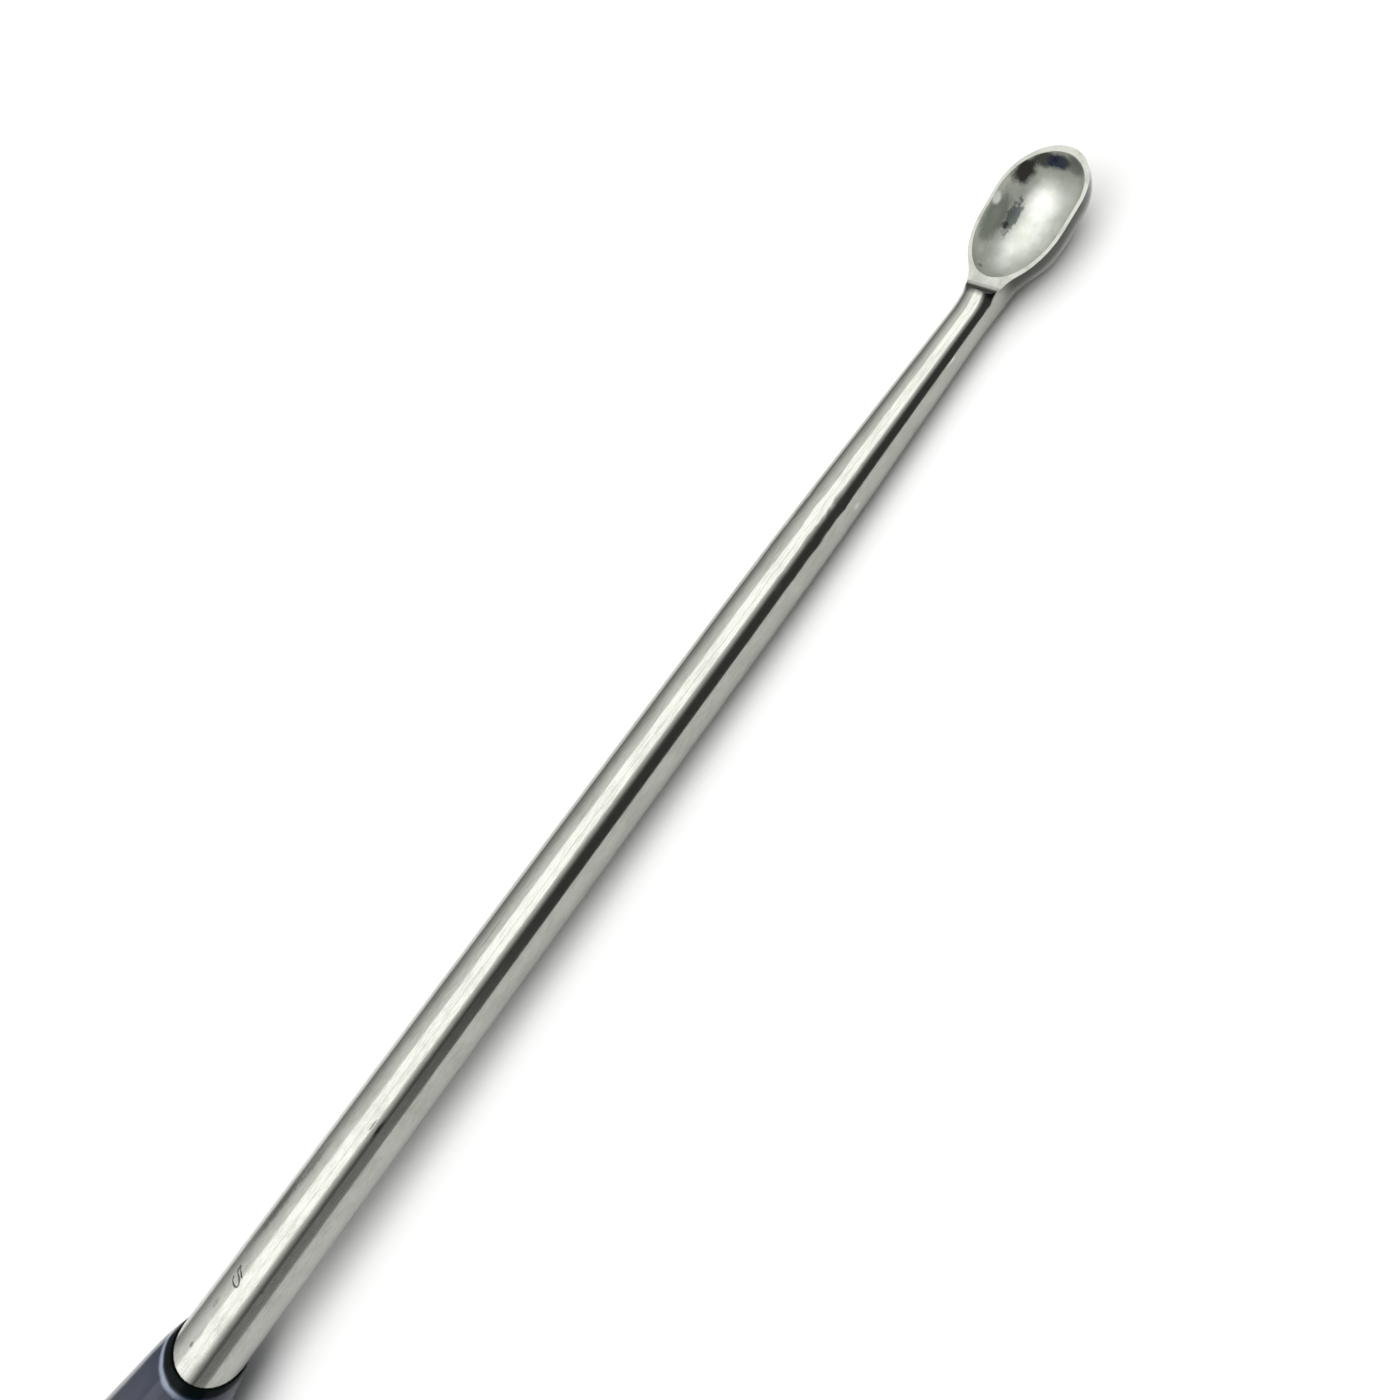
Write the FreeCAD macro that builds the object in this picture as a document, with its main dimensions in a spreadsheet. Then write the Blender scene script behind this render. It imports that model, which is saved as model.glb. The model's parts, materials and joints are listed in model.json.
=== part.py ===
import FreeCAD, Part
import Sketcher
import os
from FreeCAD import Placement, Rotation, Vector

# A bone curette that lies on a table: a steel blade with a spoon cup at its tip, set in a moulded handle.
# Each body is drawn along +X, the blade from the end of its tang and the handle from its butt.
# Both are then laid down together, so that the grip and the back of the cup touch the table at Z = 0.

SIZES = {
    # Shaft of the blade. Its waist, last taper and neck are measured back from the cup.
    "tang_length": 45.0,
    "tang_chamfer": 0.4,
    "root_diameter": 6.35,
    "waist_to_cup": 31.2,
    "waist_diameter": 4.21,
    "taper_to_cup": 17.2,
    "neck_to_cup": 6.0,
    "neck_diameter": 2.70,
    "flare_inset": 0.4,
    "flare_diameter": 3.00,
    # Cup of the blade. Its distance is from the handle's front face to where its round heel ends.
    # Its rim is a flat oval, tilted so that the tip stands higher than the heel.
    # The heel and the tip are round, with a short straight piece between them.
    "cup_distance": 107.2,
    "rim_height": 1.68,
    "rim_tilt": 10.5,
    "heel_length": 3.85,
    "middle_length": 1.65,
    "tip_length": 3.00,
    "cup_width": 6.40,
    "cup_depth": 3.30,
    "rim_end_land": 0.36,
    "rim_side_land": 0.24,
    "floor_wall": 0.50,
    "root_blend": 2.60,
    "heel_land": 0.10,
    "heel_radius": 0.70,
    # Handle.
    "handle_length": 114.3,
    "grip_diameter": 12.7,
    "nose_length": 27.4,
    "shoulder_length": 6.8,
    "collar_length": 4.0,
    "collar_diameter": 8.22,
    "lip_width": 0.10,
    "lip_round": 0.10,
    "butt_round": 3.0,
    # Fit of the tang in the handle's bore.
    "bore_clearance": 0.02,
    "bore_end_gap": 1.0,
}
SAME_PLACE = 0.001

os.makedirs("parts", exist_ok=True)
doc = FreeCAD.newDocument("curette")
sheet = doc.addObject("Spreadsheet::Sheet", "Sizes")
for row, (alias, size) in enumerate(SIZES.items(), start=1):
    sheet.set(f"A{row}", alias)
    sheet.set(f"B{row}", str(size))
    sheet.setAlias(f"B{row}", alias)
doc.recompute()


def size_of(text):
    """The value of an expression such as 'tang_length + cup_distance' on the sheet's sizes."""
    return float(sheet.evalExpression(text))


def bound(text):
    """The same expression as an object of the document has to write it, with the sheet's name before each size."""
    return " ".join("Sizes." + word if word in SIZES else word for word in text.split())


def bind(feature, **sizes):
    for name, text in sizes.items():
        feature.setExpression(name, bound(text))


def origin_plane(body, role):
    return next(plane for plane in body.Origin.OriginFeatures if plane.Role == role)


def side_view(body, name, support, map_mode, corners, arcs):
    """A closed sketch seen from the side, anticlockwise.

    Each corner is a pair of expressions, its distance along X and its height. The sides that start at the
    corners numbered in arcs are arcs, which run tangent into the next side. All other sides are straight.
    A corner without a height is where such an arc also starts tangent to the side before it.
    """
    sketch = body.newObject("Sketcher::SketchObject", name)
    sketch.AttachmentSupport = (support, [""])
    sketch.MapMode = map_mode
    count = len(corners)
    heights = [size_of(height) if height else None for _, height in corners]
    for i, height in enumerate(heights):
        if height is None:
            heights[i] = (heights[i - 1] + heights[(i + 1) % count]) / 2
    points = [Vector(size_of(along), height, 0) for (along, _), height in zip(corners, heights)]
    for i, start in enumerate(points):
        end = points[(i + 1) % count]
        if i in arcs:
            outward = Vector(end.y - start.y, start.x - end.x, 0)
            sketch.addGeometry(Part.Arc(start, (start + end) / 2 + outward * 0.05, end), False)
        else:
            sketch.addGeometry(Part.LineSegment(start, end), False)
    for i in range(count):
        smooth = i in arcs or corners[(i + 1) % count][1] is None
        sketch.addConstraint(Sketcher.Constraint("Tangent" if smooth else "Coincident", i, 2, (i + 1) % count, 1))
    for i, (start, (along, height)) in enumerate(zip(points, corners)):
        for kind, axis, value, text in (("DistanceX", -2, start.x, along), ("DistanceY", -1, start.y, height)):
            if text == "0":
                sketch.addConstraint(Sketcher.Constraint("PointOnObject", i, 1, axis))
            elif text:
                number = sketch.addConstraint(Sketcher.Constraint(kind, -1, 1, i, 1, value))
                sketch.setExpression(f"Constraints[{number}]", bound(text))
    return sketch


def turn(body, name, corners, arcs):
    """Revolve a half section round the X axis. Its corners and arcs are given as in side_view."""
    sketch = side_view(body, f"{name}_outline", origin_plane(body, "XZ_Plane"), "FlatFace", corners, arcs)
    turned = body.newObject("PartDesign::Revolution", name)
    turned.Profile = sketch
    turned.ReferenceAxis = (sketch, ["H_Axis"])
    turned.Angle = 360
    doc.recompute()
    return turned


def circle_at(shape, along, radius):
    """Name of the circular edge round the X axis at a distance along it and at a radius."""
    names = []
    for number, edge in enumerate(shape.Edges, start=1):
        box = edge.BoundBox
        wanted = (box.XMin - along, box.XMax - along, box.ZMax - radius, box.ZMin + radius)
        if max(abs(miss) for miss in wanted) < SAME_PLACE:
            names.append(f"Edge{number}")
    return names


def dress(body, kind, name, base, edges, amount):
    """Round or chamfer edges of the last feature, by an amount named on the sheet."""
    feature = body.newObject(f"PartDesign::{kind}", name)
    feature.Base = (base, edges)
    bind(feature, **{"Radius" if kind == "Fillet" else "Size": amount})
    doc.recompute()
    return feature


# Blade: the shaft and neck are turned from one rod. The neck widens again as far as it runs inside the bowl.
blade = doc.addObject("PartDesign::Body", "blade")
shaft = turn(blade, "shaft", (
    ("0", "0"),
    ("tang_length + cup_distance - flare_inset", "0"),
    ("tang_length + cup_distance - flare_inset", "flare_diameter / 2"),
    ("tang_length + cup_distance - neck_to_cup", "neck_diameter / 2"),
    ("tang_length + cup_distance - taper_to_cup", None),
    ("tang_length + cup_distance - waist_to_cup", "waist_diameter / 2"),
    ("tang_length", "root_diameter / 2"),
    ("0", "root_diameter / 2"),
), arcs={4})
tang_edge = circle_at(shaft.Shape, 0, size_of("root_diameter / 2"))
tang_end = dress(blade, "Chamfer", "tang_end", shaft, tang_edge, "tang_chamfer")

# The cup's own frame lies in the rim's plane, where the round heel ends, with its X axis toward the tip.
cup_frame = blade.newObject("PartDesign::CoordinateSystem", "cup_frame")
cup_frame.AttachmentSupport = (origin_plane(blade, "XY_Plane"), [""])
cup_frame.MapMode = "FlatFace"
cup_frame.AttachmentOffset = Placement(Vector(), Rotation(Vector(0, -1, 0), size_of("rim_tilt")))
cup_frame.setExpression("AttachmentOffset.Base.x", bound("tang_length + cup_distance"))
cup_frame.setExpression("AttachmentOffset.Base.z", bound("rim_height"))
cup_frame.setExpression("AttachmentOffset.Rotation.Angle", bound("rim_tilt"))


def half_egg(kind, name, turned, along, length, width, depth):
    """Add or cut half an ellipsoid in the cup's frame. Turned 90 it faces the heel, turned -90 the tip."""
    feature = blade.newObject(f"PartDesign::{kind}Ellipsoid", name)
    feature.AttachmentSupport = (cup_frame, [""])
    feature.MapMode = "ObjectXY"
    feature.AttachmentOffset = Placement(Vector(), Rotation(Vector(0, 0, 1), turned))
    feature.Angle3 = 180
    feature.setExpression("AttachmentOffset.Base.x", bound(along))
    bind(feature, Radius1=depth, Radius2=width, Radius3=length)
    doc.recompute()
    return feature


def middle_piece(kind, name, heel):
    """Carry the flat end of the heel's half egg on toward the tip, as a Pad of steel or a Pocket cut out of it."""
    origin = cup_frame.Placement.Base
    toward_tip = cup_frame.Placement.Rotation.multVec(Vector(1, 0, 0))
    flat_ends = []
    for number, face in enumerate(heel.Shape.Faces, start=1):
        places = [face.CenterOfMass] + [vertex.Point for vertex in face.Vertexes]
        if max(abs((place - origin).dot(toward_tip)) for place in places) < SAME_PLACE:
            flat_ends.append(f"Face{number}")
    feature = blade.newObject(f"PartDesign::{kind}", name)
    feature.Profile = (heel, flat_ends)
    feature.AllowMultiFace = True
    bind(feature, Length="middle_length")
    doc.recompute()
    return feature


# The bowl is closed at first, so that the neck flares into it all round, and is then cut open at the rim.
outer = ("cup_width / 2", "cup_depth")
bowl_heel = half_egg("Additive", "bowl_heel", 90, "0", "heel_length", *outer)
middle_piece("Pad", "bowl_middle", bowl_heel)
bowl = half_egg("Additive", "bowl_tip", -90, "middle_length", "tip_length", *outer)
shaft_skin = shaft.Shape.Shells[0]


def is_root_edge(edge):
    """True of the curve where the neck's surface meets the bowl, which runs round the neck."""
    box = edge.BoundBox
    if min(box.XLength, box.YLength, box.ZLength) < SAME_PLACE:
        return False
    return all(shaft_skin.distToShape(Part.Vertex(point))[0] < SAME_PLACE for point in edge.discretize(7))


root_edges = [f"Edge{n}" for n, edge in enumerate(bowl.Shape.Edges, start=1) if is_root_edge(edge)]
root = dress(blade, "Fillet", "root", bowl, root_edges, "root_blend")

# Above the rim everything goes. Behind the heel a hollow step is left, up to the top of the neck.
rim_outline = side_view(blade, "rim_outline", cup_frame, "ObjectXZ", (
    ("0 - heel_length - heel_land", "0"),
    ("middle_length + tip_length * 2", "0"),
    ("middle_length + tip_length * 2", "cup_depth * 2"),
    ("0 - heel_length - heel_land - heel_radius", "cup_depth * 2"),
    ("0 - heel_length - heel_land - heel_radius", "heel_radius"),
), arcs={4})
rim = blade.newObject("PartDesign::Pocket", "rim")
rim.Profile = rim_outline
rim.SideType = "Symmetric"
bind(rim, Length="cup_width * 2")
doc.recompute()

# The hollow follows the bowl, with a wider land at the ends of the rim than along its sides.
inner = ("cup_width / 2 - rim_side_land", "cup_depth - floor_wall")
hollow_heel = half_egg("Subtractive", "hollow_heel", 90, "0", "heel_length - rim_end_land", *inner)
middle_piece("Pocket", "hollow_middle", hollow_heel)
half_egg("Subtractive", "hollow_tip", -90, "middle_length", "tip_length - rim_end_land", *inner)

# Handle: a moulded grip that narrows to a thin lip round the shaft, with a blind bore for the tang.
handle = doc.addObject("PartDesign::Body", "handle")
grip = turn(handle, "grip", (
    ("0", "0"),
    ("handle_length - tang_length - bore_end_gap", "0"),
    ("handle_length - tang_length - bore_end_gap", "root_diameter / 2 + bore_clearance"),
    ("handle_length", "root_diameter / 2 + bore_clearance"),
    ("handle_length", "root_diameter / 2 + bore_clearance + lip_width"),
    ("handle_length - collar_length", "collar_diameter / 2"),
    ("handle_length - nose_length + shoulder_length", None),
    ("handle_length - nose_length", "grip_diameter / 2"),
    ("0", "grip_diameter / 2"),
), arcs={4, 6})
butt_edge = circle_at(grip.Shape, 0, size_of("grip_diameter / 2"))
butt = dress(handle, "Fillet", "butt", grip, butt_edge, "butt_round")
lip_edge = circle_at(butt.Shape, size_of("handle_length"), size_of("root_diameter / 2 + bore_clearance + lip_width"))
lip = dress(handle, "Fillet", "lip", butt, lip_edge, "lip_round")

# Laying down: the nose dips until the grip and the back of the cup are equally low.
blade_in_handle = Placement(Vector(size_of("handle_length - tang_length"), 0, 0), Rotation())
in_handle = {blade: blade_in_handle, handle: Placement()}
shapes = {body: body.Shape.copy() for body in in_handle}


def dipped(pitch):
    """Both bodies' boxes with the nose dipped by an angle in degrees."""
    turn_down = Placement(Vector(), Rotation(Vector(0, 1, 0), pitch))
    boxes = {}
    for body, place in in_handle.items():
        shapes[body].Placement = turn_down * place
        boxes[body] = shapes[body].optimalBoundingBox()
    return boxes


def cup_over_grip(pitch):
    boxes = dipped(pitch)
    return boxes[blade].ZMin - boxes[handle].ZMin


low, high = 0.0, 10.0
gap_low, gap_high = cup_over_grip(low), cup_over_grip(high)
while abs(gap_high) > 1e-6:
    pitch = low - gap_low * (high - low) / (gap_high - gap_low)
    low, gap_low = high, gap_high
    high, gap_high = pitch, cup_over_grip(pitch)
boxes = dipped(high)
lowest = min(box.ZMin for box in boxes.values())
middle = (min(box.XMin for box in boxes.values()) + max(box.XMax for box in boxes.values())) / 2
rest = Placement(Vector(-middle, 0, -lowest), Rotation(Vector(0, 1, 0), high))
for body, place in in_handle.items():
    body.Placement = rest * place
doc.recompute()

for obj in doc.Objects:
    if "Invalid" in obj.State or "Error" in obj.State:
        raise RuntimeError(f"{obj.Label} failed: {obj.State}")
for body in in_handle:
    if body.Shape.isNull() or not body.Shape.isValid() or len(body.Shape.Solids) != 1:
        raise RuntimeError(f"{body.Label} is not one sound solid")
    body.Shape.exportStep(f"parts/{body.Label}.step")
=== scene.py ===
import json
import math

import bpy
from mathutils import Matrix, Vector


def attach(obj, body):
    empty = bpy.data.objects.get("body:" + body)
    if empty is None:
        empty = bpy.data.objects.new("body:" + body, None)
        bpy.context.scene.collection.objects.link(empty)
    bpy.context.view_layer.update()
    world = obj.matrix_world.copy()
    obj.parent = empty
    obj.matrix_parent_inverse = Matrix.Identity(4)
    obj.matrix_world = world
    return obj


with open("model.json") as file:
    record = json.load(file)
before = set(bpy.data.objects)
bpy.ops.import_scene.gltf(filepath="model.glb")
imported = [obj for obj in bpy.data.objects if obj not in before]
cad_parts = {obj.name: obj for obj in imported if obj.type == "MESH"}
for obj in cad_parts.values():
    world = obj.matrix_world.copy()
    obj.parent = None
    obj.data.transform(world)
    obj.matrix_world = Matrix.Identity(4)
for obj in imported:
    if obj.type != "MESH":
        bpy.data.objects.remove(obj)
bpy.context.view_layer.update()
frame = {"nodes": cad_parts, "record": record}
scene = bpy.context.scene
scene.view_settings.view_transform = "Standard"

# The blade: one piece of stainless steel, turned and ground from round rod, with a spoon cup at its tip.
# It is polished along its length, which leaves fine lines, and the cup's inside is left satin.
# Its tang is bonded into the handle.
HANDLE_LENGTH = 0.1143
MM = 1000.0
butt = next(mount for mount in frame["record"]["mounts"] if mount["name"] == "butt")
along = -Vector(butt["axis"]).normalized()
handle_face = Vector(butt["pos_m"]) + along * HANDLE_LENGTH
cup_up = (Vector((0, 0, 1)) - along * along.z).normalized()
left = cup_up.cross(along)


class Nodes:
    """A material's node tree, with short calls to add nodes and join them."""

    def __init__(self, name):
        self.material = bpy.data.materials.new(name)
        self.material.use_nodes = True
        self.tree = self.material.node_tree
        self.shader = self.tree.nodes["Principled BSDF"]

    def put(self, socket, value):
        """Links a socket to another one, or sets it to a number, a vector or a colour."""
        if isinstance(value, bpy.types.NodeSocket):
            self.tree.links.new(value, socket)
        else:
            socket.default_value = value

    def add(self, kind, inputs=None, **settings):
        node = self.tree.nodes.new(kind)
        for key, value in settings.items():
            setattr(node, key, value)
        for key, value in (inputs or {}).items():
            self.put(node.inputs[key], value)
        return node

    def math(self, operation, *values):
        return self.add("ShaderNodeMath", dict(enumerate(values)), operation=operation).outputs[0]

    def product(self, first, *others):
        for value in others:
            first = self.math("MULTIPLY", first, value)
        return first

    def vector(self, operation, first, second, output=0):
        return self.add("ShaderNodeVectorMath", {0: first, 1: second}, operation=operation).outputs[output]

    def join(self, x, y, z):
        return self.add("ShaderNodeCombineXYZ", {0: x, 1: y, 2: z}).outputs[0]

    def noise(self, place, scale, detail=3.0, roughness=0.55):
        """Noise from 0 to 1."""
        settings = {"Vector": place, "Scale": scale, "Detail": detail, "Roughness": roughness}
        return self.add("ShaderNodeTexNoise", settings).outputs[0]

    def ramp(self, value, start, end, low=0.0, high=1.0):
        """A smooth change from low to high as the value goes from start to end."""
        limits = {0: value, 1: start, 2: end, 3: low, 4: high}
        return self.add("ShaderNodeMapRange", limits, interpolation_type="SMOOTHSTEP").outputs[0]

    def blend(self, share, first, second):
        """A mix of two colours, each a socket or three numbers."""
        mix = self.add("ShaderNodeMix", data_type="RGBA")
        self.put(mix.inputs[0], share)
        for socket, value in ((mix.inputs[6], first), (mix.inputs[7], second)):
            self.put(socket, (*value, 1.0) if isinstance(value, tuple) else value)
        return mix.outputs[2]

    def set(self, **values):
        """Sets or links the shader's own sockets, named with _ in place of a space."""
        for key, value in values.items():
            self.put(self.shader.inputs[key.replace("_", " ")], value)

    def place_in_mm(self, origin, x_axis, y_axis, z_axis):
        """The surface point's three distances in mm from an origin along three directions of the part."""
        point = self.add("ShaderNodeTexCoord").outputs["Object"]
        offset = self.vector("SUBTRACT", point, tuple(origin))
        axes = (x_axis, y_axis, z_axis)
        return [self.vector("DOT_PRODUCT", offset, tuple(axis * MM), "Value") for axis in axes]

    def turn_from_top(self, to_left, upward):
        """The angle round the shaft from its top, more than 0 on the right, in radians."""
        return self.math("ARCTAN2", self.math("MULTIPLY", to_left, -1.0), upward)


SHARP_FROM = math.radians(35)
SEAM_GAP = 0.0000002


def dress(node, material):
    """Gives a CAD node one material, and shades it smooth across its seams. Its true edges stay sharp."""
    part = frame["nodes"][node]
    part.data.materials.clear()
    part.data.materials.append(material)
    tree = bpy.data.node_groups.new(f"{node}_shading", "GeometryNodeTree")
    for in_out in ("INPUT", "OUTPUT"):
        tree.interface.new_socket("Geometry", in_out=in_out, socket_type="NodeSocketGeometry")
    merge = tree.nodes.new("GeometryNodeMergeByDistance")
    merge.inputs["Distance"].default_value = SEAM_GAP
    plain = tree.nodes.new("GeometryNodeRemoveAttribute")
    plain.inputs["Name"].default_value = "custom_normal"
    bend = tree.nodes.new("GeometryNodeInputMeshEdgeAngle")
    compare = tree.nodes.new("FunctionNodeCompare")
    compare.inputs["B"].default_value = SHARP_FROM
    crease = tree.nodes.new("GeometryNodeSetShadeSmooth")
    crease.domain = "EDGE"
    crease.inputs["Shade Smooth"].default_value = False
    tree.links.new(tree.nodes.new("NodeGroupInput").outputs[0], merge.inputs["Geometry"])
    tree.links.new(merge.outputs["Geometry"], plain.inputs["Geometry"])
    tree.links.new(plain.outputs["Geometry"], crease.inputs["Geometry"])
    tree.links.new(bend.outputs["Unsigned Angle"], compare.inputs["A"])
    tree.links.new(compare.outputs["Result"], crease.inputs["Selection"])
    tree.links.new(crease.outputs["Geometry"], tree.nodes.new("NodeGroupOutput").inputs[0])
    part.modifiers.new("shading", "NODES").node_group = tree


# On the blade s is the distance from the handle, y the one to the left and h the one up, all in mm.
steel = Nodes("polished_steel")
s, y, h = steel.place_in_mm(handle_face, along, left, cup_up)
turn = steel.turn_from_top(y, h)
reach = steel.math("SQRT", steel.math("ADD", steel.product(y, y), steel.product(h, h)))
around_y = steel.math("DIVIDE", y, reach)
around_z = steel.math("DIVIDE", h, reach)


def drawn_lines(stretch, scale, detail, roughness):
    """Noise in fine lines that run along the shaft: stretched along it and dense round it."""
    along_lines = steel.join(steel.math("MULTIPLY", s, stretch), around_y, around_z)
    return steel.noise(along_lines, scale, detail, roughness)


# The stretch of shaft next to the handle is rubbed most, so it is duller and its lines are deeper.
SHAFT_STEEL = (0.385, 0.390, 0.358)
SHAFT_DULL = (0.30, 0.306, 0.275)
SHAFT_ROUGHNESS = 0.12
CLOUD_STRETCH = 0.5
LINES_IN_DULLNESS, CLOUDS_IN_DULLNESS = 0.6, 0.4
WORN_LENGTH = 45.0
WORN_ROUGHNESS = 0.05
LINE_HEIGHT, WORN_LINE_HEIGHT, FINE_LINE_HEIGHT = 0.6, 1.2, 0.4
lines = drawn_lines(stretch=0.035, scale=26.0, detail=5.0, roughness=0.7)
fine_lines = drawn_lines(stretch=0.16, scale=90.0, detail=2.0, roughness=0.6)
cloud_place = steel.join(steel.math("MULTIPLY", s, CLOUD_STRETCH), y, h)
clouds = steel.noise(cloud_place, scale=0.55, detail=4.0, roughness=0.6)
dullness = steel.math(
    "ADD", steel.product(lines, LINES_IN_DULLNESS), steel.product(clouds, CLOUDS_IN_DULLNESS))
colour = steel.blend(steel.ramp(dullness, 0.40, 0.64), SHAFT_STEEL, SHAFT_DULL)
worn = steel.ramp(s, WORN_LENGTH, 0.0)
roughness = steel.ramp(dullness, 0.35, 0.7, SHAFT_ROUGHNESS - 0.02, SHAFT_ROUGHNESS + 0.05)
roughness = steel.math("ADD", roughness, steel.product(worn, WORN_ROUGHNESS))
line_height = steel.math("ADD", steel.product(worn, WORN_LINE_HEIGHT), LINE_HEIGHT)
height = steel.math("ADD", steel.product(lines, line_height), steel.product(fine_lines, FINE_LINE_HEIGHT))


def mark(distance, degrees, length, width, jag):
    """A ragged spot on the shaft, 1 in its middle: mm from the handle, degrees to the right of the top."""
    du = steel.math("DIVIDE", steel.math("SUBTRACT", s, distance), length)
    dv = steel.math("SUBTRACT", turn, math.radians(degrees))
    dv = steel.math("DIVIDE", steel.product(dv, reach), width)
    far = steel.math("SQRT", steel.math("ADD", steel.product(du, du), steel.product(dv, dv)))
    rough = steel.noise(steel.join(s, y, h), scale=5.0, detail=4.0, roughness=0.7)
    far = steel.math("ADD", far, steel.product(steel.math("SUBTRACT", rough, 0.5), jag))
    return steel.ramp(far, 1.0, 0.25)


# Small marks of use: distance, turn, half length and half width in mm, jaggedness, and how dark.
# Dark marks are pits. A mark whose darkness is below 0 is pale and stands a little proud.
MARKS = (
    (2.75, 8.9, 0.45, 0.22, 1.2, 0.75),
    (3.9, 11.0, 1.4, 0.3, 1.5, 0.25),
    (7.1, -1.3, 0.8, 0.3, 1.4, 0.35),
    (11.2, 50.0, 0.35, 0.25, 1.0, 0.35),
    (29.1, 45.6, 1.3, 0.16, 1.0, 0.95),
    (29.1, 34.3, 0.9, 0.12, 1.6, 0.7),
    (17.4, -16.0, 5.5, 0.5, 1.8, 0.65),
    (22.3, -9.6, 3.0, 0.35, 1.8, 0.45),
    (47.1, 0.1, 2.4, 0.05, 0.6, 0.6),
    (87.4, 86.0, 0.4, 0.2, 1.2, -0.6),
    (79.9, 49.4, 0.5, 0.22, 1.2, -0.4),
    (98.2, 66.0, 0.6, 0.12, 1.8, -0.8),
)
MARK_DARK = (0.06, 0.06, 0.05)
MARK_PALE = (0.62, 0.63, 0.60)
MARK_DEPTH = 2.0
for distance, degrees, length, width, jag, dark in MARKS:
    spot = mark(distance, degrees, length, width, jag)
    tint = MARK_DARK if dark > 0 else MARK_PALE
    colour = steel.blend(steel.product(spot, abs(dark)), colour, tint)
    height = steel.math("SUBTRACT", height, steel.product(spot, MARK_DEPTH * dark))

# The cup's hollow has a round heel, a short straight piece and a round tip, and its rim is tilted.
# It is measured in mm from the middle of the rim, where the heel ends: cx toward the tip, cy left, cz up.
RIM_MIDDLE = (107.2, 1.68)
RIM_TILT = math.radians(10.5)
HEEL, STRAIGHT, TIP, HALF_WIDTH, DEPTH = 3.49, 1.65, 2.64, 2.96, 2.80
CUP_STEEL = (0.60, 0.612, 0.575)
CUP_DULL = (0.44, 0.458, 0.41)
CUP_ROUGHNESS = 0.46
rim_origin = handle_face + along * (RIM_MIDDLE[0] / MM) + cup_up * (RIM_MIDDLE[1] / MM)
rim_along = along * math.cos(RIM_TILT) + cup_up * math.sin(RIM_TILT)
rim_up = cup_up * math.cos(RIM_TILT) - along * math.sin(RIM_TILT)
cx, cy, cz = steel.place_in_mm(rim_origin, rim_along, left, rim_up)
toward_heel = steel.math("DIVIDE", steel.math("MINIMUM", cx, 0.0), HEEL)
toward_tip = steel.math("DIVIDE", steel.math("MAXIMUM", steel.math("SUBTRACT", cx, STRAIGHT), 0.0), TIP)
across = steel.math("DIVIDE", cy, HALF_WIDTH)
down = steel.math("DIVIDE", cz, DEPTH)
bulk = [steel.product(q, q) for q in (toward_heel, toward_tip, across, down)]
out = steel.math("ADD", steel.math("ADD", bulk[0], bulk[1]), steel.math("ADD", bulk[2], bulk[3]))
below_rim = steel.ramp(cz, 0.01, -0.03)
near_cup = steel.ramp(cx, -3.9, -3.6)
inside = steel.product(steel.ramp(out, 1.05, 1.03), below_rim, near_cup)
cup_place = steel.join(cx, cy, cz)
cup_clouds = steel.noise(cup_place, scale=0.55, detail=5.0, roughness=0.6)
cup_colour = steel.blend(steel.ramp(cup_clouds, 0.35, 0.68), CUP_STEEL, CUP_DULL)


def cup_patch(middle, size, jag, scale):
    """A soft patch inside the cup, 1 in its middle, with a ragged edge."""
    offset = steel.vector("SUBTRACT", cup_place, middle)
    far = steel.vector("LENGTH", steel.vector("DIVIDE", offset, size), (0, 0, 0), "Value")
    rough = steel.noise(cup_place, scale, detail=5.0, roughness=0.7)
    far = steel.math("ADD", far, steel.product(steel.math("SUBTRACT", rough, 0.5), jag))
    return steel.ramp(far, 1.0, 0.45)


# Patches inside the cup: middle and half sizes in mm, ragged edge, its scale, colour, strength. The two
# near-white ones are painted highlights and the deep blue one is a painted reflection; the others are
# darker patches on the steel.
CUP_PATCHES_AND_PAINTED_LIGHT = (
    ((-2.71, 1.66, -0.82), (0.28, 0.2, 0.3), 0.8, 3.0, (0.16, 0.18, 0.17), 0.7),
    ((1.0, 2.2, -1.9), (1.3, 0.4, 0.6), 2.8, 3.2, (0.08, 0.10, 0.10), 0.8),
    ((0.35, 2.3, -1.75), (0.3, 0.22, 0.3), 1.0, 4.0, (0.03, 0.03, 0.04), 0.9),
    ((0.4, 2.7, -0.9), (2.4, 0.8, 1.0), 1.2, 0.8, (0.14, 0.16, 0.135), 0.7),
    ((1.25, 3.0, -0.35), (0.5, 0.5, 0.5), 0.8, 1.6, (0.92, 0.92, 0.92), 0.9),
    ((1.9, -2.3, -1.4), (0.75, 0.7, 0.8), 0.9, 1.4, (0.88, 0.89, 0.88), 0.8),
    ((3.2, 2.2, -0.6), (1.1, 0.95, 0.95), 1.0, 1.6, (0.03, 0.026, 0.026), 0.96),
    ((4.1, 1.35, -0.5), (0.75, 1.2, 0.8), 1.0, 1.6, (0.05, 0.055, 0.055), 0.9),
    ((4.15, 0.3, -0.85), (0.6, 0.95, 0.8), 0.9, 1.6, (0.013, 0.02, 0.07), 0.9),
    ((4.0, -1.0, -0.8), (0.65, 1.3, 1.0), 1.0, 1.2, (0.10, 0.11, 0.10), 0.7),
)
# Mixes each patch into the cup's colour, the painted highlights and the painted reflection among them.
for middle, size, jag, scale, tint, strength in CUP_PATCHES_AND_PAINTED_LIGHT:
    patch_share = steel.product(cup_patch(middle, size, jag, scale), strength)
    cup_colour = steel.blend(patch_share, cup_colour, tint)
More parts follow.
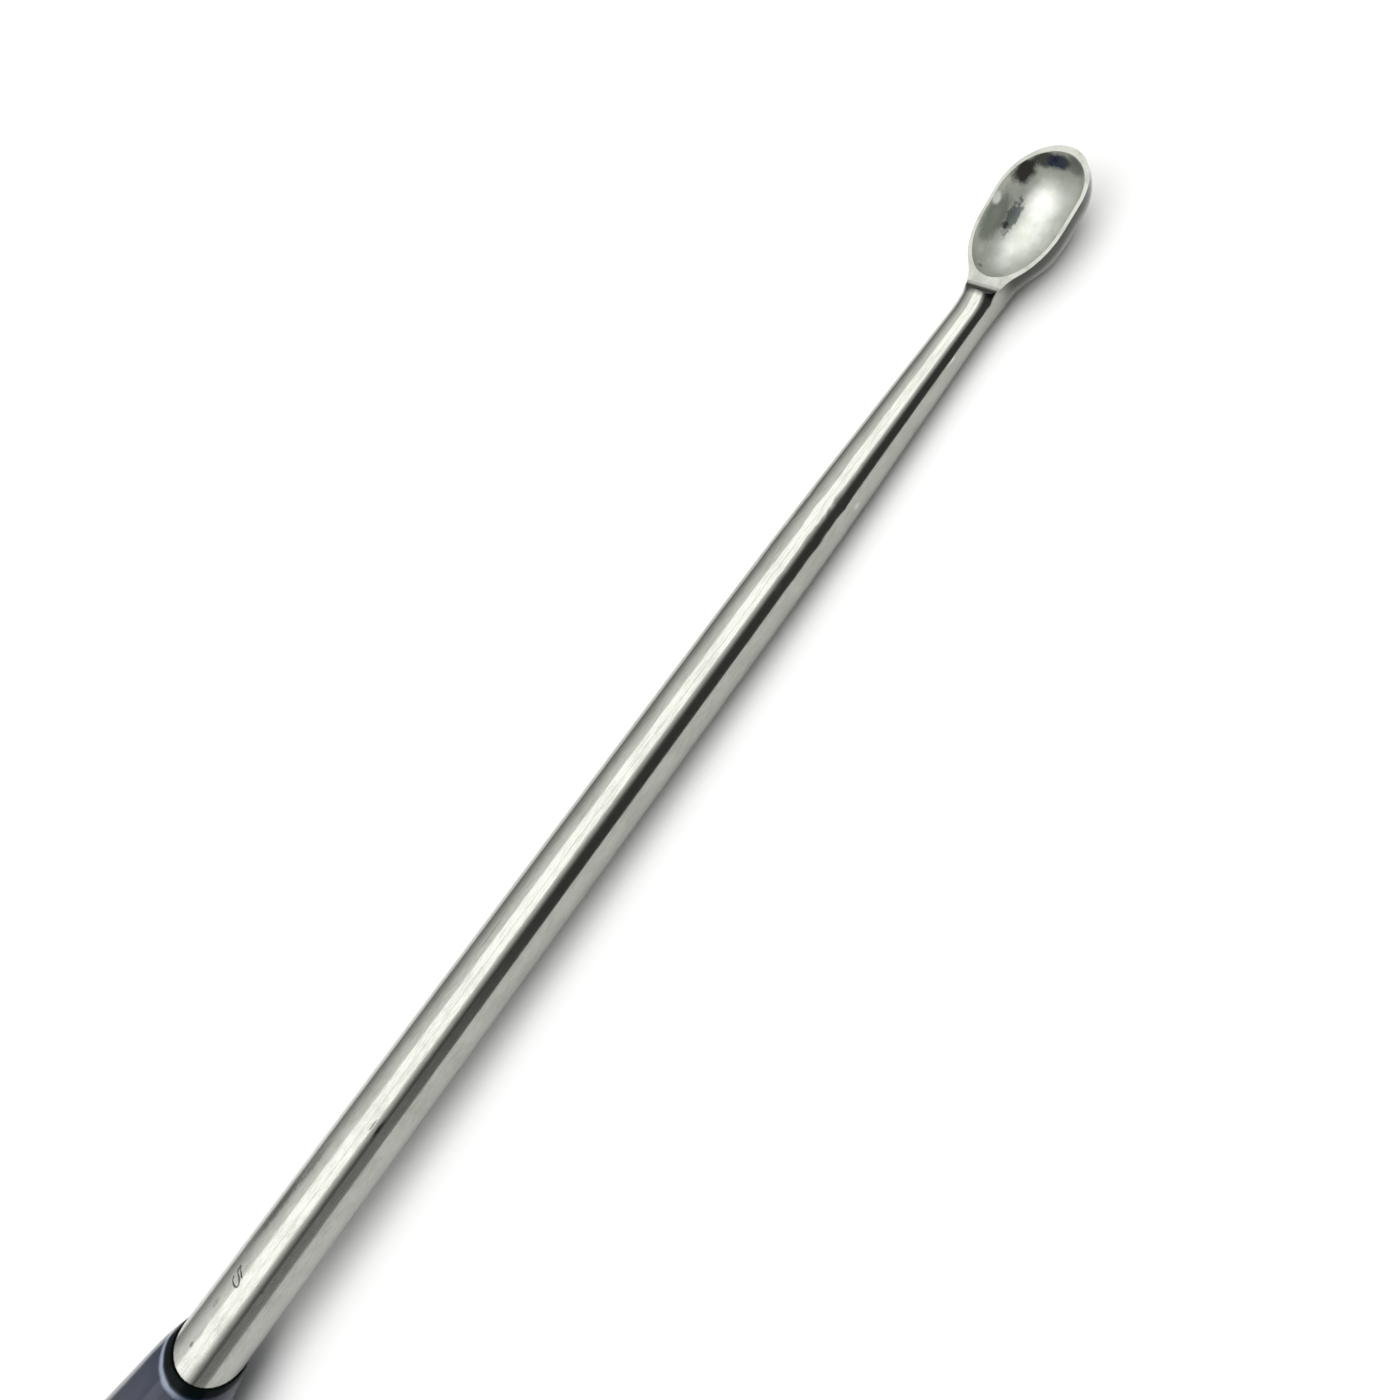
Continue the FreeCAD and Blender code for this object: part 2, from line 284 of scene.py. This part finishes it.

# The bowl's outside below the rim and the hollow step behind the heel are darkened with a painted dark
# reflection in the steel's colour.
# The narrow flat of the rim is the brightest ground edge.
PAINTED_DARK_REFLECTION = (0.035, 0.037, 0.032)
PAINTED_DARK_STRENGTH = 0.88
LAND_STEEL = (0.57, 0.58, 0.53)
LINE_BUMP = 0.5
LINE_DEPTH = 0.0000012
under_rim = steel.product(
    steel.ramp(cz, -1.7, -0.6), steel.ramp(cz, 0.0, -0.05), steel.ramp(cx, -4.6, -3.2))
step = steel.product(steel.ramp(cx, -5.0, -4.6), steel.ramp(cz, 0.02, 0.06))
painted_dark_share = steel.product(steel.math("MAXIMUM", under_rim, step), PAINTED_DARK_STRENGTH)
colour = steel.blend(painted_dark_share, colour, PAINTED_DARK_REFLECTION)
land = steel.product(
    steel.ramp(steel.math("ABSOLUTE", cz), 0.03, 0.012), steel.ramp(cx, -4.05, -3.95))
land_colour = steel.blend(steel.ramp(cup_clouds, 0.42, 0.6), LAND_STEEL, CUP_DULL)
colour = steel.blend(land, colour, land_colour)
colour = steel.blend(inside, colour, cup_colour)
roughness = steel.add(
    "ShaderNodeMix", {0: inside, 2: roughness, 3: CUP_ROUGHNESS}, data_type="FLOAT").outputs[0]
bump = steel.add("ShaderNodeBump", {"Height": height, "Strength": LINE_BUMP, "Distance": LINE_DEPTH})
steel.set(Base_Color=colour, Metallic=1.0, Roughness=roughness, Normal=bump.outputs[0])
dress("blade", steel.material)

# The size number on the shaft's top near the handle, a 5 that reads with its top toward the cup.
# It is engraved and filled dark, made here as a thin dark line set flush in the steel.
# The points are the line's middle, to the right and up, in mm from the number's own middle.
NUMBER_DISTANCE = 10.4
NUMBER_ASIDE = 0.17
NUMBER_BAR = ((0.38, 0.36), (-0.46, 0.67))
NUMBER_UPRIGHT = ((-0.46, 0.67), (-0.41, 0.16))
NUMBER_CURVE = (
    (-0.41, 0.16), (-0.11, 0.13), (0.30, 0.02), (0.52, -0.25), (0.48, -0.56), (0.20, -0.73), (-0.16, -0.69),
    (-0.38, -0.44),
)
NUMBER_STEPS = 6
NUMBER_LINE = 0.13
NUMBER_PROUD = 0.004
NUMBER_DEEP = 0.02
ROOT_RADIUS, WAIST_RADIUS, WAIST_DISTANCE = 3.175, 2.105, 76.0
INK = (0.035, 0.04, 0.038)
INK_PALE = (0.11, 0.12, 0.11)


def on_shaft(right, distance, proud):
    """A point in metres: to the right of the shaft's top, from the handle, and above the steel, in mm."""
    radius = ROOT_RADIUS - (ROOT_RADIUS - WAIST_RADIUS) * distance / WAIST_DISTANCE
    angle = right / radius
    outward = cup_up * math.cos(angle) - left * math.sin(angle)
    return handle_face + along * (distance / MM) + outward * ((radius + proud) / MM)


def curve_value(a, b, c, d, t):
    """A value on the smooth curve from b to c, when a comes before them and d after them."""
    return 0.5 * (
        2 * b + (c - a) * t + (2 * a - 5 * b + 4 * c - d) * t ** 2 + (3 * b - a - 3 * c + d) * t ** 3)


def rounded(points):
    """A smooth line through points, which starts and ends on the first and last."""
    last = len(points) - 1
    line = []
    for i in range(last):
        near = [points[max(0, min(k, last))] for k in range(i - 1, i + 3)]
        for count in range(NUMBER_STEPS):
            line.append(tuple(curve_value(*values, count / NUMBER_STEPS) for values in zip(*near)))
    return line + [points[-1]]


def inlay(line, vertices, faces):
    """Adds a closed strip along a line, a little proud of the steel and sunk into it."""
    first = len(vertices)
    corners = ((1, -NUMBER_DEEP), (1, NUMBER_PROUD), (-1, NUMBER_PROUD), (-1, -NUMBER_DEEP))
    for i, (right, up) in enumerate(line):
        ahead = line[min(i + 1, len(line) - 1)]
        behind = line[max(i - 1, 0)]
        run = Vector((ahead[0] - behind[0], ahead[1] - behind[1])).normalized() * (NUMBER_LINE / 2)
        for side, proud in corners:
            aside = NUMBER_ASIDE + right - side * run.y
            distance = NUMBER_DISTANCE + up + side * run.x
            vertices.append(on_shaft(aside, distance, proud))
    for corner in range(first, len(vertices) - 4, 4):
        for k in range(4):
            after = (k + 1) % 4
            faces.append((corner + k, corner + 4 + k, corner + 4 + after, corner + after))
    faces.append(tuple(range(first, first + 4)))
    faces.append(tuple(reversed(range(len(vertices) - 4, len(vertices)))))


number_vertices, number_faces = [], []
for stroke in (NUMBER_BAR, NUMBER_UPRIGHT, NUMBER_CURVE):
    inlay(rounded(stroke), number_vertices, number_faces)
number_mesh = bpy.data.meshes.new("size_number")
number_mesh.from_pydata(number_vertices, [], number_faces)
number = bpy.data.objects.new("size_number", number_mesh)
scene.collection.objects.link(number)
ink = Nodes("engraved_grey")
grain = ink.noise(ink.add("ShaderNodeTexCoord").outputs["Object"], scale=9000.0)
ink.set(Base_Color=ink.blend(grain, INK, INK_PALE), Roughness=0.5, Metallic=0.4)
number_mesh.materials.append(ink.material)
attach(number, "root")

# The handle: moulded in one piece of glossy deep blue plastic, with a blind hole for the tang.
# Its nose narrows to a thin lip round the shaft. The rest is a plain round grip with a rounded butt.
# Its lip is darkened round its edge with painted shade, and behind that a painted highlight makes a paler
# ring at the upper left.
NAVY = (0.005, 0.010, 0.028)
NAVY_PALE = (0.009, 0.016, 0.038)
LIP_PAINTED_SHADE = (0.002, 0.004, 0.004)
RING_PAINTED_HIGHLIGHT = (0.24, 0.285, 0.36)
RING_HIGHLIGHT_STRENGTH = 0.8
EDGE_WANDER = 0.35
LIP_GLOSS_LOSS = 0.85
navy = Nodes("navy_plastic")
place = navy.add("ShaderNodeTexCoord").outputs["Object"]
mottle = navy.noise(place, scale=260.0, detail=4.0, roughness=0.6)
ns, ny, nh = navy.place_in_mm(handle_face, along, left, cup_up)
turned = navy.turn_from_top(ny, nh)
edge = navy.math("ADD", ns, navy.product(navy.noise(place, scale=600.0), EDGE_WANDER))
# Painted shade round the lip: a near-black colour, with less gloss there.
lip_painted_shade = navy.ramp(edge, -0.75, -0.40)
# A painted highlight: a paler ring on the nose's upper left.
ring = navy.product(
    navy.ramp(edge, -1.25, -0.90),
    navy.ramp(edge, -0.55, -0.80),
    navy.ramp(turned, 1.2, 0.3),
    navy.ramp(turned, -2.0, -1.2),
    RING_HIGHLIGHT_STRENGTH,
)
navy_colour = navy.blend(ring, navy.blend(mottle, NAVY, NAVY_PALE), RING_PAINTED_HIGHLIGHT)
gloss = navy.ramp(navy.noise(place, scale=260.0), 0.3, 0.7, 0.20, 0.27)
kept_gloss = navy.math("SUBTRACT", 1.0, navy.product(lip_painted_shade, LIP_GLOSS_LOSS))
navy.set(
    Base_Color=navy.blend(lip_painted_shade, navy_colour, LIP_PAINTED_SHADE),
    Specular_IOR_Level=navy.product(gloss, kept_gloss),
    Roughness=navy.ramp(navy.noise(place, scale=700.0, detail=4.0), 0.3, 0.7, 0.11, 0.18),
    Normal=navy.add("ShaderNodeBump", {"Height": mottle, "Strength": 0.3, "Distance": 0.00002}).outputs[0],
)
dress("handle", navy.material)

# The floor is a wide white table with a matt face, and the instrument lies on it and casts a soft shadow.
# Far from the instrument it is as white as a photographer's backdrop.
FLOOR_SIZE = 12.0
TABLE_WHITE = (0.80, 0.80, 0.80, 1.0)
BACKDROP_WHITE = (1.0, 1.0, 1.0, 1.0)
SHADOW_REACH, BACKDROP_FROM = 0.13, 0.45
half = FLOOR_SIZE / 2
floor_mesh = bpy.data.meshes.new("floor")
floor_mesh.from_pydata(
    [(-half, -half, 0), (half, -half, 0), (half, half, 0), (-half, half, 0)], [], [(0, 1, 2, 3)]
)
floor = bpy.data.objects.new("floor", floor_mesh)
scene.collection.objects.link(floor)
table = Nodes("white_table")
table.set(Base_Color=TABLE_WHITE, Roughness=0.9)
rays = table.add("ShaderNodeLightPath").outputs
seen = table.math("MAXIMUM", rays["Is Camera Ray"], rays["Is Glossy Ray"])
seen = table.math("MAXIMUM", seen, rays["Is Transmission Ray"])
floor_point = table.add("ShaderNodeTexCoord").outputs["Object"]
away = table.ramp(table.vector("LENGTH", floor_point, (0, 0, 0), "Value"), SHADOW_REACH, BACKDROP_FROM)
glow = table.add("ShaderNodeEmission", {"Color": BACKDROP_WHITE, "Strength": 1.0})
both = table.add(
    "ShaderNodeMixShader", {0: table.product(seen, away), 1: table.shader.outputs[0], 2: glow.outputs[0]})
table.put(table.tree.nodes["Material Output"].inputs["Surface"], both.outputs[0])
floor_mesh.materials.append(table.material)

# The room: one broad soft light over the table. It fades toward the far side and stops short on the near
# side, which is dark but for a pale wall beyond the handle. Angles lean from straight up to the far side.
LIGHT_LEVEL = 0.75
ROOM_WHITE = (1.0, 1.0, 0.99, 1.0)
BROAD_BRIGHT, BROAD_FAINT = 1.95, 0.45
BRIGHT_TO, FAINT_FROM = math.radians(16), math.radians(88)
LIGHT_STOPS, LIGHT_FULL = math.radians(-57), math.radians(-27)
DARK_SIDE = 0.10
WALL_BRIGHT = 0.42
WALL_TOP, WALL_FULL = math.radians(-55), math.radians(-62)
WALL_STARTS, WALL_WHOLE = -0.4, -0.75
world = bpy.data.worlds.new("room")
scene.world = world
world.use_nodes = True
room = world.node_tree


def room_math(operation, *values):
    node = room.nodes.new("ShaderNodeMath")
    node.operation = operation
    for socket, value in zip(node.inputs, values):
        if isinstance(value, bpy.types.NodeSocket):
            room.links.new(value, socket)
        else:
            socket.default_value = value
    return node.outputs[0]


def room_ramp(value, start, end, low, high):
    """A smooth change from low to high as the value goes from start to end."""
    node = room.nodes.new("ShaderNodeMapRange")
    node.interpolation_type = "SMOOTHSTEP"
    room.links.new(value, node.inputs[0])
    for slot, limit in enumerate((start, end, low, high), start=1):
        node.inputs[slot].default_value = limit
    return node.outputs[0]


split = room.nodes.new("ShaderNodeSeparateXYZ")
room.links.new(room.nodes.new("ShaderNodeTexCoord").outputs["Generated"], split.inputs[0])
lean = room_math("ARCTAN2", split.outputs["Y"], split.outputs["Z"])
broad = room_ramp(lean, FAINT_FROM, BRIGHT_TO, BROAD_FAINT, BROAD_BRIGHT)
lit = room_ramp(lean, LIGHT_STOPS, LIGHT_FULL, 0.0, 1.0)
beyond_handle = room_ramp(split.outputs["X"], WALL_STARTS, WALL_WHOLE, 0.0, WALL_BRIGHT)
wall = room_math("MULTIPLY", beyond_handle, room_ramp(lean, WALL_TOP, WALL_FULL, 0.0, 1.0))
near_side = room_math("ADD", wall, DARK_SIDE)
over_near_side = room_math("MULTIPLY", lit, room_math("SUBTRACT", broad, near_side))
room_light = room_math("ADD", near_side, over_near_side)
background = room.nodes["Background"]
room.links.new(room_math("MULTIPLY", room_light, LIGHT_LEVEL), background.inputs["Strength"])
background.inputs["Color"].default_value = ROOM_WHITE

# Two long soft tubes hang side by side over the table, in the middle of that light.
# The narrow gap between them is seen as a fine darker line in the shaft's bright band.
LAMP_HEIGHT = 0.5
LAMP_LENGTH = 1.1
LAMP_BACK = -0.15
LAMP_RADIANCE = 1.5 * LIGHT_LEVEL
LAMP_EDGES = ((-33, -13), (-11, 15))
for index, (near_edge, far_edge) in enumerate(LAMP_EDGES):
    low_y = LAMP_HEIGHT * math.tan(math.radians(near_edge))
    high_y = LAMP_HEIGHT * math.tan(math.radians(far_edge))
    lamp_data = bpy.data.lights.new(f"tube_{index}", "AREA")
    lamp_data.shape = "RECTANGLE"
    lamp_data.size = LAMP_LENGTH
    lamp_data.size_y = high_y - low_y
    lamp_data.energy = LAMP_RADIANCE * lamp_data.size * lamp_data.size_y * math.pi
    lamp = bpy.data.objects.new(f"tube_{index}", lamp_data)
    lamp.location = (LAMP_BACK, (low_y + high_y) / 2, LAMP_HEIGHT)
    scene.collection.objects.link(lamp)

# The camera looks down on the shaft from close by, a little nearer the cup than the handle.
# It stands off to the right of the cup's opening, and its lens is a wide one.
CAMERA_ALONG = 0.07932
CAMERA_OFF = 0.05681
CAMERA_ASIDE = 0.00063
CAMERA_ROUND = math.radians(38.0)
LENS_LEAN = math.radians(9.03)
SHAFT_SLANT = math.radians(53.55)
SENSOR = 36.0
PICTURE_WIDTH, LENS_IN_PIXELS = 1400, 800
toward = cup_up * math.cos(CAMERA_ROUND) - left * math.sin(CAMERA_ROUND)
sideways = -cup_up * math.sin(CAMERA_ROUND) - left * math.cos(CAMERA_ROUND)
back = along * math.sin(LENS_LEAN) + toward * math.cos(LENS_LEAN)
picture_along = along * math.cos(LENS_LEAN) - toward * math.sin(LENS_LEAN)
picture_right = picture_along * math.cos(SHAFT_SLANT) + sideways * math.sin(SHAFT_SLANT)
picture_up = picture_along * math.sin(SHAFT_SLANT) - sideways * math.cos(SHAFT_SLANT)
camera_place = handle_face + along * CAMERA_ALONG + toward * CAMERA_OFF + sideways * CAMERA_ASIDE
facing = Matrix((picture_right, picture_up, back)).transposed().to_4x4()
camera_data = bpy.data.cameras.new("camera")
camera_data.sensor_width = SENSOR
camera_data.lens = SENSOR * LENS_IN_PIXELS / PICTURE_WIDTH
camera_data.clip_start = 0.001
camera_data.clip_end = 100.0
camera = bpy.data.objects.new("camera", camera_data)
scene.collection.objects.link(camera)
camera.matrix_world = Matrix.Translation(camera_place) @ facing
scene.camera = camera
